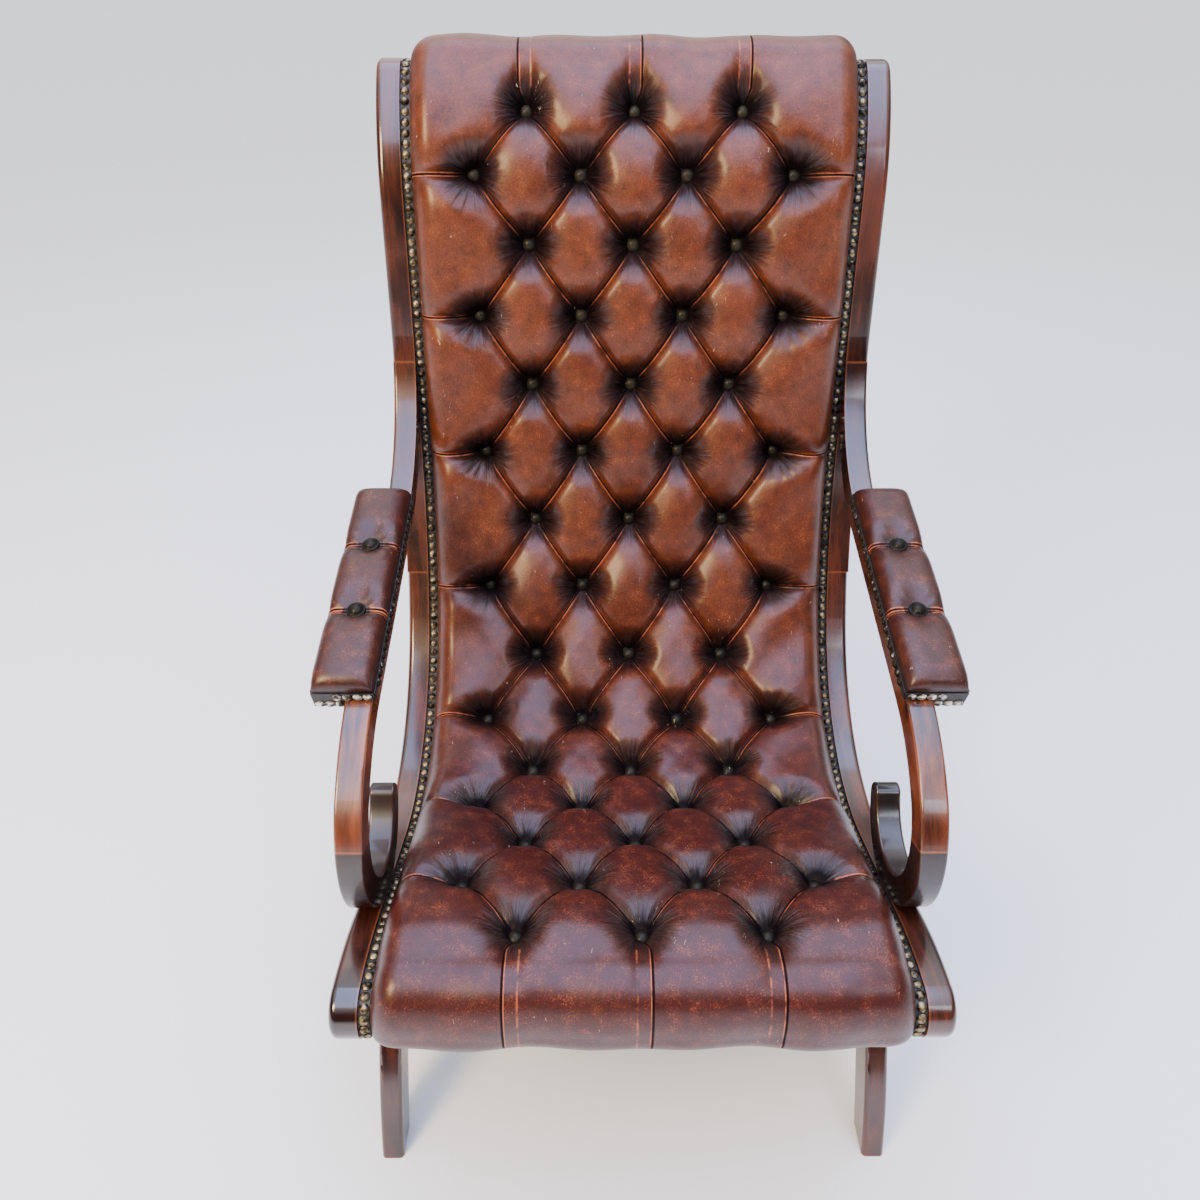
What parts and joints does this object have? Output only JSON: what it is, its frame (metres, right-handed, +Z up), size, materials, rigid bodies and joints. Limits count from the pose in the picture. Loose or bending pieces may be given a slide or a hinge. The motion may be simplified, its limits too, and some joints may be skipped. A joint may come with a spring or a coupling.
{
  "type": "armchair",
  "caption": "Deep-buttoned leather armchair with a scrolled wooden side frame, padded arms and curved legs.",
  "frame": {"origin": "on the floor, under the middle of the chair's bounding box", "axes": "+Z up, -Y to the front of the chair, +X to the right of someone who looks at its front"},
  "size_m": [0.632, 0.7779, 1.0617],
  "materials": {
    "show_wood": "glossy reddish-brown mahogany, worn at the arrises",
    "rail_wood": "plain beech, unfinished",
    "hide": "antiqued oxblood leather, brown on the back, glossy",
    "button_hide": "dark worn leather over a domed button",
    "nail_brass": "antique brass",
    "nail_nickel": "pale worn brass",
    "nail_strip": "black strip, dull",
    "foam": "stuffing",
    "webbing": "woven jute",
    "cloth": "black lining cloth",
    "screw": "plain steel"
  },
  "bodies": {
    "root": {"seat_rail_left": "show_wood", "seat_rail_right": "show_wood", "back_stile_left": "show_wood", "back_stile_right": "show_wood", "arm_rail_left": "show_wood", "arm_rail_right": "show_wood", "arm_support_left": "show_wood", "arm_support_right": "show_wood", "arm_scroll_left": "show_wood", "arm_scroll_right": "show_wood", "front_leg_left": "show_wood", "front_leg_right": "show_wood", "rear_leg_left": "show_wood", "rear_leg_right": "show_wood", "web_ledger_left": "rail_wood", "web_ledger_right": "rail_wood", "nail_band_left": "nail_strip", "nail_band_right": "nail_strip", "show_nails_left": "nail_brass", "show_nails_right": "nail_brass", "back_nails_left": "nail_brass", "back_nails_right": "nail_brass", "arm_pad_board_left": "rail_wood", "arm_pad_board_right": "rail_wood", "arm_pad_foam_left": "foam", "arm_pad_foam_right": "foam", "arm_pad_cover_left": "hide", "arm_pad_cover_right": "hide", "arm_pad_buttons_left": "button_hide", "arm_pad_buttons_right": "button_hide", "arm_pad_nails_left": "nail_nickel", "arm_pad_nails_right": "nail_nickel", "arm_pad_screws_left": "screw", "arm_pad_screws_right": "screw", "frame_dowels_left": "rail_wood", "frame_dowels_right": "rail_wood", "arm_pad_strip_left": "nail_strip", "arm_pad_strip_right": "nail_strip", "front_rail": "rail_wood", "seat_mid_rail": "rail_wood", "seat_bend_rail": "rail_wood", "lumbar_rail": "rail_wood", "crest_rail": "rail_wood", "cross_rail_dowels": "rail_wood", "corner_blocks": "rail_wood", "webbing": "webbing", "hessian": "webbing", "seat_foam": "foam", "back_foam": "foam", "tufted_cover": "hide", "cover_buttons": "button_hide", "outside_back": "hide", "dust_cloth": "cloth"}
  },
  "joints": []
}
